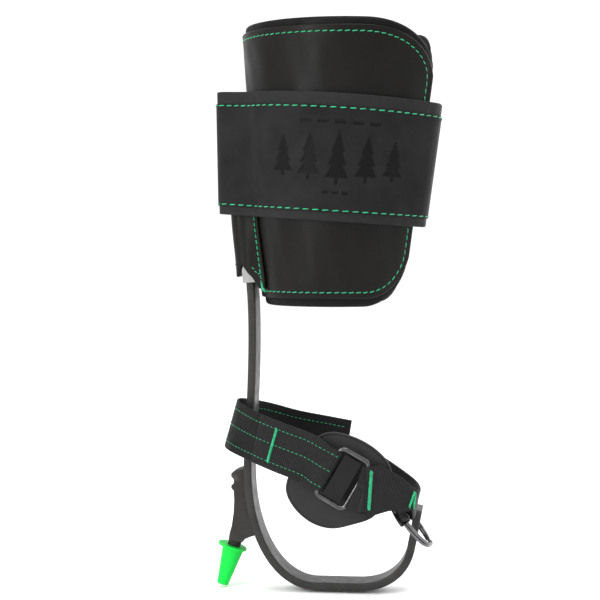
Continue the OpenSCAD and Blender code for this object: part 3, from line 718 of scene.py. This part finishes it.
levels = pocket_low + close_steps(60, 0.7, pocket_tall) * pocket_tall
table_z = np.linspace(levels[0] - 9, levels[-1], 80)
across = np.linspace(0, 1, pocket_cols)
from_seam = np.minimum(across, 1 - across)
near_seam = np.clip((0.18 - from_seam) / 0.10, 0, 1)
mouth = 8.5 * near_seam * near_seam * (3 - 2 * near_seam) - 9.5 * np.exp(-((from_seam - 0.255) / 0.05) ** 2)
skins = []
for out in (0.0, leather_t):
    table = np.array([softened(resampled(pocket_ring(z, out), pocket_cols), 6) for z in table_z])
    drawn = levels[:, None] - mouth * np.clip(1 - (levels[:, None] - levels[0]) / 40, 0, 1)
    skins.append(np.stack([[np.interp(drawn[:, c], table_z, table[:, c, i]) for c in range(pocket_cols)]
                           for i in range(3)], -1).transpose(1, 0, 2))
wave = (0.35 * np.sin(np.linspace(0, 14, len(levels)))[:, None]
        * np.sin(np.linspace(0, math.pi, pocket_cols))[None, :])
for skin_rows in skins:
    skin_rows += plan_out(skin_rows[30])[None] * wave[..., None] * np.array([1, 1, 0])
pocket = make("pocket_leather", shell(skins[0], skins[1], rim=0.9), leather, "upper", 60)
welded(pocket)
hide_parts("sleeve_pocket")
seam_rows = []
for side in (1, -1):
    mirror = np.array([1, side, 1])
    zs = np.linspace(pocket_low - 6, pocket_low + pocket_tall - 3, 80)
    path = np.array([on_cone(seam_a - closer(z) + 0.6, z, 2.85) for z in zs]) * mirror
    face = np.array([on_cone(seam_a - 2, z, 5) - on_cone(seam_a - 2, z, 0) for z in zs]) * mirror
    seam_rows.append(stitches(path, unit(face), 4.4, 3.6, 0.95, 10 * side, 0.2))
    tack = path[0] + np.array([(0.2, -0.2, 2.0), (0.9, -1.3, -1.5), (3.2, -3.6, -4.4)]) * mirror
    seam_rows.append(sweep(resampled(tack, 14), face[0], round_section(1.0, 10)))
    for first, last in ((7, 24), (50, 66)):
        under, near = (skin_rows[8, ::side][first:last] for skin_rows in skins)
        seam_rows.append(stitches(near, near - under, 3.6, 2.6, 0.8, 10 * side, 0.15))
make("pocket_stitching", joined(seam_rows), thread, "upper", 80)

# ---- calf strap ----
# Stiff twill webbing with a nubuck panel sewn along it, riveted to the pad behind the sleeve. It
# passes round the pocket and over the front wing, turns inward and closes on the back wing.
strap_z, strap_h, web_face, strap_t = 280.0, 94.0, 3.6, 4.5
strap_in, turn_a, turn_r, turn_to, loose_to, tail_to = 0.6, 340.6, 8.0, 365.0, 16.0, 62.0
turn_from = flare_from + (turn_a - flare_from) / flare_k
tail_in = 3.2


def strap_low(x):
    return strap_z - 11.6 * (x + 2) / 176


def strap_point(a, k, out):
    """A point of the strap on the pad: k is 0 at its lower edge and 1 at the upper"""
    x = on_cone(a, strap_z + k * strap_h, out)[..., 0]
    return on_cone(a, strap_low(x) + k * strap_h, out)


def strap_path(k):
    """The strap's inner face at one level, from its riveted end to its tip, and where it turns"""
    z = strap_low(-90) + k * strap_h
    w, c, x0 = pocket_half + 3.4, 9.0, -92.2 - 1.8 * k + strap_t
    arc = np.radians(np.linspace(90, 0, 12))
    rows = [on_cone(a, z, strap_in) for a in np.linspace(139, 147, 6)] + [on_cone(150, z, 2.4)]
    rows += [np.array([x0 + c - c * math.sin(t), w - c + c * math.cos(t), z]) for t in arc[::-1]]
    rows += [np.array([x0 + c - c * math.sin(t), -w + c - c * math.cos(t), z]) for t in arc]
    rows += [strap_point(a, k, strap_in) for a in np.linspace(207, turn_a, 134)]
    turn_at = len(rows)
    p = strap_point(turn_a, k, strap_in - turn_r)
    bs = np.radians(np.linspace(turn_from, turn_to, 12)[1:])
    rows += [np.array([p[0] + turn_r * math.cos(b), p[1] + turn_r * math.sin(b), 0]) for b in bs]
    land = strap_point(loose_to, k, tail_in)
    leave = rows[-1]
    rows += [leave * (1 - t) + land * t + np.array([1.5 * math.sin(math.pi * t), 0, 0])
             for t in np.linspace(0, 1, 12)[1:-1]]
    rows += [strap_point(a, k, tail_in) for a in np.linspace(loose_to, tail_to, 46)]
    return np.array(rows), turn_at


def strap_grid(levels, places):
    """The strap's inner face and outward direction at these levels and places along it. Places run
    from 0 to 1 before the turn and from 1 to 2 after it"""
    skin, facing = [], []
    for k in levels:
        path, turn_at = strap_path(k)
        path[:, 2] = 0
        path = softened(path, 3)
        run = run_along(path)
        split = run[turn_at]
        s = np.where(places <= 1, places * split, split + (places - 1) * (run[-1] - split))
        row = np.stack([np.interp(s, run, path[:, i]) for i in range(3)], 1)
        row = softened(row, 4)
        out = plan_out(row)
        row[:, 2] = strap_low(row[:, 0]) + k * strap_h
        skin.append(row)
        facing.append(out)
    return np.array(skin).transpose(1, 0, 2), np.array(facing).transpose(1, 0, 2)


main_len, tail_len = 292.0, 121.0
fine = (150.0, 266.0)
emblem_mid = 207.0


def steps_of(*stretches):
    """Places along the strap in millimetres: each stretch is its start, its end and the step"""
    runs = [np.linspace(a, b, max(2, int(round((b - a) / s)) + 1)) for a, b, s in stretches]
    return np.unique(np.concatenate(runs).round(4))


def conifers(u, w):
    """How far inside the pressed emblem a point is: five plain conifers, with short bars over and under"""
    inside = np.full(u.shape, -9.0)
    for x, tall in ((-44, 30), (-22, 35), (0, 40), (22, 35), (44, 30)):
        foot = -tall / 2
        for low, high, wide in ((0.12, 0.58, 9.0), (0.36, 0.80, 7.0), (0.60, 1.0, 5.0)):
            h0, h1 = foot + low * tall, foot + high * tall
            slope = wide / (h1 - h0)
            d = np.minimum(w - h0, (slope * (h1 - w) - np.abs(u - x)) / math.hypot(1, slope))
            inside = np.maximum(inside, d)
        trunk = np.minimum(1.3 - np.abs(u - x), np.minimum(w - foot, foot + 0.14 * tall - w))
        inside = np.maximum(inside, trunk)
    for w0, xs, long in ((25.5, (-26, -13, 0, 13, 26), 4.2), (-26.0, (-7.5, 0, 7.5), 2.4)):
        for x in xs:
            inside = np.maximum(inside, np.minimum(long - np.abs(u - x), 1.1 - np.abs(w - w0)))
    return inside


# the twill's diagonal crests get a painted highlight and its grooves painted shade
twill = finish("twill", ((0.0048, 0.0048, 0.0050), (0.0085, 0.0085, 0.0088)), (0.55, 0.75),
               (("twill", 2.1, 0.16), ("noise", 0.5, 0.05)), patch=90, shine=0.12)
nubuck = finish("nubuck", ((0.0062, 0.0062, 0.0064), (0.0115, 0.0115, 0.0118)), (0.6, 0.78),
                (("noise", 1.1, 0.08), ("noise", 0.35, 0.04), ("noise", 9, 0.15)), patch=36, sheen=0.02,
                shine=0.09)


def pressed(paint, key, colour, rough):
    """Where the attribute is set, the surface is darker and smoother, as under a hot stamp"""
    tree = paint.node_tree
    shader = tree.nodes["Principled BSDF"]
    mask = tree.nodes.new("ShaderNodeAttribute")
    mask.attribute_name = key
    for socket, value, kind in (("Base Color", (*colour, 1), "RGBA"), ("Roughness", rough, "FLOAT")):
        was = shader.inputs[socket].links[0].from_socket
        node = tree.nodes.new("ShaderNodeMix")
        node.data_type = kind
        ends = [s for s in node.inputs if s.name in ("A", "B") and s.enabled]
        tree.links.new(mask.outputs["Fac"], [s for s in node.inputs if s.name == "Factor" and s.enabled][0])
        tree.links.new(was, ends[0])
        ends[1].default_value = value
        tree.links.new([s for s in node.outputs if s.enabled][0], shader.inputs[socket])


pressed(nubuck, "pressed", (0.0025, 0.0025, 0.0026), 0.5)


def strap_piece(name, places, levels, inner, outer, paint, rim, relief):
    """A closed stretch of the strap between two depths, with the pressed emblem where relief is set"""
    skin, facing = strap_grid(levels, places)
    low, high = skin + facing * inner, skin + facing * outer
    run = np.where(places <= 1, places * main_len, main_len + (places - 1) * tail_len)
    run, rise = np.meshgrid(run, levels * strap_h, indexing="ij")
    extra = {}
    if relief:
        inside = conifers(run - emblem_mid, np.broadcast_to((levels - 0.5) * strap_h, run.shape))
        deep = np.clip(inside / 0.7 + 0.5, 0, 1)
        deep = deep * deep * (3 - 2 * deep)
        puff = 0.25 * np.exp(-((inside + 1.3) / 0.9) ** 2)
        high = high + facing * (puff - 0.6 * deep)[..., None]
        extra["pressed"] = np.concatenate([deep.ravel(), 0 * deep.ravel()])
    return make(name, shell(low, high, np.stack([run, rise, 0 * run], -1), rim), paint, None, 60, extra)


web_levels = close_steps(34, 0.9, strap_h)
main_places = close_steps(190, 0.9, main_len)
main_places = main_places[main_places <= 1 - 1.0 / main_len]
main_places = np.concatenate([main_places, [1.0]])
tail_places = np.concatenate([[1.0], 1 + close_steps(80, 0.9, tail_len)[5:]])


def half_shell(name, places, levels, inner, outer, paint, rim, relief=False):
    """A stretch of the strap that meets the next one face to face, open to it"""
    joins_start, joins_end = places[0] == 1.0, places[-1] == 1.0
    longer = places
    if joins_start:
        longer = np.concatenate([[1 - 6 / main_len], places])
    if joins_end:
        longer = np.concatenate([places, [1 + 6 / tail_len]])
    piece = strap_piece(name, longer, levels, inner, outer, paint, rim, relief)
    n, m = len(longer), len(levels)
    drop = range(0, m) if joins_start else range((n - 1) * m, n * m)
    work = bmesh.new()
    work.from_mesh(piece.data)
    work.verts.ensure_lookup_table()
    gone = [work.verts[i + side * n * m] for i in drop for side in (0, 1)]
    bmesh.ops.delete(work, geom=gone, context="VERTS")
    work.to_mesh(piece.data)
    work.free()
    welded(piece)
    return piece


def hung(piece, part):
    if part == "main":
        over_the_fold(piece)
    else:
        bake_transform(piece)


web_main = half_shell("strap_webbing", main_places, web_levels, 0.0, web_face, twill, 0.9)
hung(web_main, "main")
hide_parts("strap_anchor", "cuff_strap")
web_tail = half_shell("strap_webbing_tail", tail_places, web_levels, 0.0, web_face - 0.5, twill,
                      0.9)
hung(web_tail, "tail")
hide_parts("strap_tail")
panel_low, panel_high = 6.6, strap_h - 9.2
step = 0.7
fine_levels = steps_of((panel_low + 0.7, 14, 1.6), (14, 80, step), (80, panel_high - 0.7, 1.6))
panel_levels = np.unique(np.concatenate([panel_low + np.array([0, 0.1, 0.3, 0.7]), fine_levels,
                                         panel_high - np.array([0.7, 0.3, 0.1, 0])])) / strap_h
panel_places = steps_of((22.0, 23.0, 0.25), (23, fine[0], 1.6), (*fine, step),
                        (fine[1], main_len, 1.6)) / main_len
panel_main = half_shell("strap_panel", panel_places, panel_levels, web_face + 0.02, strap_t, nubuck,
                        0.6, True)
hung(panel_main, "main")
panel_tail_places = 1 + steps_of((0, tail_len - 8, 1.6), (tail_len - 8, tail_len - 7, 0.25)) / tail_len
panel_tail = half_shell("strap_panel_tail", panel_tail_places, panel_levels, web_face - 0.48, strap_t - 0.5,
                        nubuck, 0.6)
hung(panel_tail, "tail")
for part, places, face in (("main", np.linspace(24 / main_len, 1, 400), strap_t),
                           ("tail", np.linspace(1.0, 2 - 9 / tail_len, 180), strap_t - 0.5)):
    rows = []
    for level in (panel_low + 1.5, panel_high - 1.5):
        skin, facing = strap_grid(np.array([level / strap_h]), places)
        rows.append(stitches(skin[:, 0] + facing[:, 0] * (face - 0.1), facing[:, 0], 7.3, 5.4, 0.95, 4, 0.3))
    row = make("strap_stitching_" + part, joined(rows), thread, None, 80)
    hung(row, part)
rivet_steel = finish("rivet_steel", ((0.30, 0.30, 0.29), (0.40, 0.40, 0.385)), (0.25, 0.4),
                     (("noise", 0.8, 0.02),), metallic=1.0, patch=120)
dressed("strap_rivets", rivet_steel, 0.5, 4)

# ---- hook and loop patches ----
# Loop tape sewn on the back wing, and the hook tape on the strap's tail that presses onto it.
hooks = finish("hooks", ((0.004, 0.004, 0.004), (0.010, 0.010, 0.010)), (0.7, 0.9),
               (("cells", 0.9, 0.5),), patch=300)
loops = finish("loops", ((0.008, 0.008, 0.008), (0.016, 0.016, 0.016)), (0.85, 1.0),
               (("noise", 0.8, 0.5), ("noise", 0.3, 0.3)), patch=200, sheen=0.6)


def patch_shell(a0, a1, inner, outer):
    a, k = np.meshgrid(a0 + close_steps(50, 0.4, (a1 - a0) * 1.17) * (a1 - a0),
                       0.1 + 0.8 * close_steps(30, 0.4, 75), indexing="ij")
    return shell(strap_point(a, k, inner), strap_point(a, k, outer), rim=0.4)


hook = make("hook_tape", patch_shell(32, 60, 1.6, 2.9), hooks, "tail", 60)
welded(hook)
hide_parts("hook_patch")
loop = make("loop_tape", patch_shell(30, 100, 0.3, 1.3), loops, "upper", 60)
welded(loop)
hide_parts("loop_patch")

# ---- foot strap ----
# Nylon webbing round the ankle and the shank, drawn through a wire buckle to the ribbed webbing
# that carries the ring. A coated link closes it behind the heel.
web_w, web_t, buckle_r, buckle_len = 38.0, 3.0, 1.8, 24.0
buckle_mid = np.array([8.6, -57, 88.3])
dip = math.radians(30)
along = np.array([math.cos(dip), 0, -math.sin(dip)])
over = np.array([math.sin(dip), 0, math.cos(dip)])
tight_w, loop_r, ply = web_w - 4, buckle_r + 0.3 + web_t / 4, web_t / 2
left_bar, right_bar = buckle_mid - along * buckle_len / 2, buckle_mid + along * buckle_len / 2


def spline(points, n):
    """A smooth line through points, n steps for each gap"""
    p = np.asarray(points, float)
    p = np.vstack([p[:1], p, p[-1:]])
    out = []
    for i in range(1, len(p) - 2):
        a, b, c, d = p[i - 1:i + 3]
        t = np.arange(n)[:, None] / n
        out.append(0.5 * (2 * b + (c - a) * t + (2 * a - 5 * b + 4 * c - d) * t * t
                          + (3 * b - a - 3 * c + d) * t ** 3))
    return np.vstack(out + [p[-2:-1]])


def round_bar(p, way, r, start):
    a = np.radians(start + np.linspace(0, 180, 25))[:, None]
    return p + way * r * np.cos(a) + np.array([0, 1, 0]) * r * np.sin(a)


# the ribs' crests get a painted highlight and their grooves painted shade
ribbed = finish("ribbed", ((0.0022, 0.0022, 0.0024), (0.0042, 0.0042, 0.0046)), (0.5, 0.7),
                (("ribs", 1.6, 0.28), ("noise", 0.4, 0.05)), patch=120, shine=0.15)
band_route = [[4, 50.7, 100.5], [-14, 52, 103.5], [-40, 48.5, 108.5], [-62, 38, 115.5], [-76.5, 21, 120.5],
              [-82.5, 0, 123.2], [-78.5, -20, 122], [-60, -39, 116.2], [-40, -48.5, 109.8], [-20, -54, 103.4]]
face_line = spline(band_route + [left_bar + (-6, -loop_r + 0.4, 3)], 12)
band_line = np.vstack([face_line, round_bar(left_bar, along, loop_r, -90),
                       spline([left_bar + (-9, loop_r, 5), left_bar + (-20, loop_r + 2.3, 11)], 6)])


def blend_up(line, a, b, mix):
    """Width directions turning from a to b along a line, square to its run"""
    way = headings(line)
    v = np.asarray(a, float) * (1 - mix)[:, None] + np.asarray(b, float) * mix[:, None]
    return unit(v - (v * way).sum(1, keepdims=True) * way)


band_mix = np.clip((-band_line[:, 0] - 60) / 15, 0, 1)
band_up = blend_up(band_line, (0.05, 0, 1), (0.28, 0, 1), band_mix)
n_face = len(face_line)
tight = np.clip((np.arange(len(band_line)) - (n_face - 10)) / 8.0, 0, 1)
tight = tight * tight * (3 - 2 * tight)
band_up = unit(band_up * (1 - tight)[:, None] + over * tight[:, None])


def tapered(widths, thick, radius=0.55, across=10):
    return np.stack([rounded(w, thick, radius, 3, across) for w in widths])


band_shape = sweep(band_line, band_up, tapered(web_w + (tight_w - web_w) * tight, ply))
band_shape[2][:, 0] = np.maximum(band_shape[2][:, 0] - 166.4, 0) - 0.4
band = make("ankle_webbing", band_shape, ribbed, "root", 60)
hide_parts("ankle_band")


def facing_of(line, up):
    return unit(np.cross(headings(line), up))


face_out = facing_of(band_line, band_up)
run = run_along(face_line)
rows = []
toward = 1 if face_out[n_face - 20] @ np.array([0, -1, 0]) > 0 else -1
for offset in (12.8, 0.4, -13.2):
    for side in (1, -1):
        keep = slice(4, n_face + (5 if side == toward else -4))
        p = band_line[keep] + band_up[keep] * offset + face_out[keep] * side * (ply / 2 + 0.02)
        rows.append(stitches(p, face_out[keep] * side, 3.5, 2.3, 0.5, 0, 0.12))
tack_at = 181.5
middle = np.array([np.interp(tack_at, run, face_line[:, i]) for i in range(3)])
spot = int(np.argmin(np.abs(run - tack_at)))
tack = np.array([middle + band_up[spot] * v + face_out[spot] * toward * (ply / 2 + 0.1)
                 for v in np.linspace(-13.6, 13.2, 30)])
rows.append(stitches(tack, face_out[spot] * toward, 1.25, 1.9, 1.7, 38, 0.3))
make("ankle_stitching", joined(rows), thread, "root", 80)

coated = finish("coated", ((0.0030, 0.0030, 0.0032), (0.0055, 0.0055, 0.0058)), (0.42, 0.58),
                (("noise", 2, 0.08), ("noise", 0.5, 0.03)), patch=60, shine=0.18)
link_line = spline([[9, 47, 95], [30, 38, 84.5], [47, 20, 76.5], [58, 2, 71.5], [62.5, -14, 68],
                    [61.5, -28, 64], [58.5, -35, 62]], 10)
link_up = blend_up(link_line, (0.2, 0.3, 1), (0.2, 0.3, 1), np.zeros(len(link_line)))
link_w, link_t = 16.0, 2.4
link = make("heel_link", sweep(link_line, link_up, tapered(np.full(len(link_line), link_w), link_t, 0.9)),
            coated, "root", 60)
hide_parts("rear_link")
buckle_steel = finish("buckle_steel", ((0.06, 0.06, 0.061), (0.10, 0.10, 0.10)), (0.14, 0.24),
                      (("noise", 1.5, 0.02),), metallic=1.0, patch=120)
dressed("buckle_frame", buckle_steel, 0)
dressed("buckle_keeper", coated, 0.8, 5)

web_front = spline([right_bar + (6, -loop_r + 0.6, -2), [32, -57, 80], [45, -52, 77.5], [55, -46, 73],
                    [62, -40, 70]], 10)
web_line = np.vstack([spline([right_bar + (17, loop_r + 0.3, -7.5), right_bar + (9, loop_r - 0.6, -5)], 6),
                      round_bar(right_bar, -along, loop_r, 90), web_front])
n_front = len(web_line) - len(web_front)
at_front = np.clip((np.arange(len(web_line)) - n_front) / 12.0, 0, 1)
web_up = blend_up(web_line, over, (0, 0, 1), at_front)
widths = np.where(np.arange(len(web_line)) < n_front, tight_w,
                  np.where(web_line[:, 0] < 34,
                           tight_w + (web_w - tight_w) * np.clip((web_line[:, 0] - 26) / 8, 0, 1),
                           web_w + (15 - web_w) * np.clip((web_line[:, 0] - 34) / 28, 0, 1)))
web_shape = sweep(web_line, web_up, tapered(widths, ply))
ring_web = make("ring_webbing_strap", web_shape, ribbed, "root", 60)
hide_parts("ring_webbing")
front_up = web_up[n_front:]
front_out = facing_of(web_front, front_up)
front_out = front_out * np.where(front_out[:, 1:2] < 0, 1, -1)
rows = []
spot = web_front[7]
tack = np.array([spot + front_up[7] * v + front_out[7] * (ply / 2 + 0.1)
                 for v in np.linspace(-14.5, 14.5, 30)])
rows.append(stitches(tack, front_out[7], 1.3, 2.0, 2.1, 38, 0.35))
for lean_x, at in ((-1.6, 36), (1.9, 37)):
    spot, up, out = web_front[at], front_up[at], front_out[at]
    side = np.cross(up, out)
    tack = np.array([spot + up * v + side * lean_x * (1 - (v + 6) / 12) + out * (ply / 2 + 0.1)
                     for v in np.linspace(-6, 6, 16)])
    rows.append(stitches(tack, out, 1.2, 1.8, 1.5, 38, 0.3))
make("ring_webbing_stitching", joined(rows), thread, "root", 80)

t = np.radians(np.linspace(90, 270, 19))
tab_line = np.concatenate([[(ring_r + 9.8, 0.95), (ring_r + 7, 1.3), (ring_r + 3.5, 2.6)],
                           np.stack([ring_r + 3.9 * np.cos(t), 3.9 * np.sin(t)], 1),
                           [(ring_r + 3.5, -2.6), (ring_r + 7, -1.3), (ring_r + 9.8, -0.95)]])
points, faces, lay = sweep(in_leg_plane(tab_line), (0, 1, 0), rounded(13.2, 1.5, 0.5, 3, 10))
turn_by = np.radians(232) + points[:, 1] / ring_r
placed = np.stack([points[:, 0] * np.cos(turn_by), points[:, 0] * np.sin(turn_by), points[:, 2]], 1)
tab = make("ring_tab_fold", (ring_mid + turned(placed, *ring_turn), faces, lay), ribbed,
           "root", 60)
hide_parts("ring_tab")

# ---- chafe pad ----
# A smooth moulded pad behind the buckle with a fine rim, riveted to the strap from behind.
rubber = finish("rubber", ((0.0115, 0.0115, 0.0118), (0.0165, 0.0165, 0.0168)), (0.5, 0.62),
                (("noise", 5, 0.12), ("cells", 0.8, 0.03)), patch=30, shine=0.2)
chafe_t = 3.5
chafe_mid = np.array([5.4, -46.5, 83])
chafe_edge = np.array([[-36, -4], [-35, -19], [-29, -28.5], [-16, -35], [-1, -36.5], [13, -32], [25, -21],
                       [34, -10], [37, 4], [34, 20], [25, 32], [8, 37], [-12, 35.5], [-28, 28], [-35, 12]])
loop_edge = spline(np.vstack([chafe_edge[-2:], chafe_edge, chafe_edge[:3]]), 8)[16:16 + 8 * len(chafe_edge)]
edge_way = unit(np.roll(loop_edge, -1, 0) - np.roll(loop_edge, 1, 0))
inward = np.stack([-edge_way[:, 1], edge_way[:, 0]], 1)
levels = [(0, 0), (0.05, 0.5), (0.25, 0.85), (0.6, 1.0), (1.3, 1.0), (1.6, 0.88), (1.9, 0.72), (2.3, 0.7),
          (2.8, 0.8), (4, 0.84), (8, 0.9), (14, 0.95), (21, 0.98), (28, 1.0)]
half_t = chafe_t / 2
rings = []
for inset, high in levels:
    flat_ring = loop_edge + inward * inset if inset < 5 else loop_edge * (1 - inset / 36)
    rings.append(np.stack([flat_ring[:, 0], flat_ring[:, 1], np.full(len(flat_ring), half_t * high)], 1))
front = np.array(rings[::-1] + [r * np.array([1, 1, -1]) for r in rings[1:]])
flat_points, faces, lay = tube(front, front)
placed = turned(turned(flat_points, 90, 0, 0), 0, 30, 0) + chafe_mid
chafe = make("chafe_pad_moulding", (placed, faces, lay), rubber, "root", 50)
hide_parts("chafe_pad")
dressed("chafe_rivets", rivet_steel, 0.3, 3)
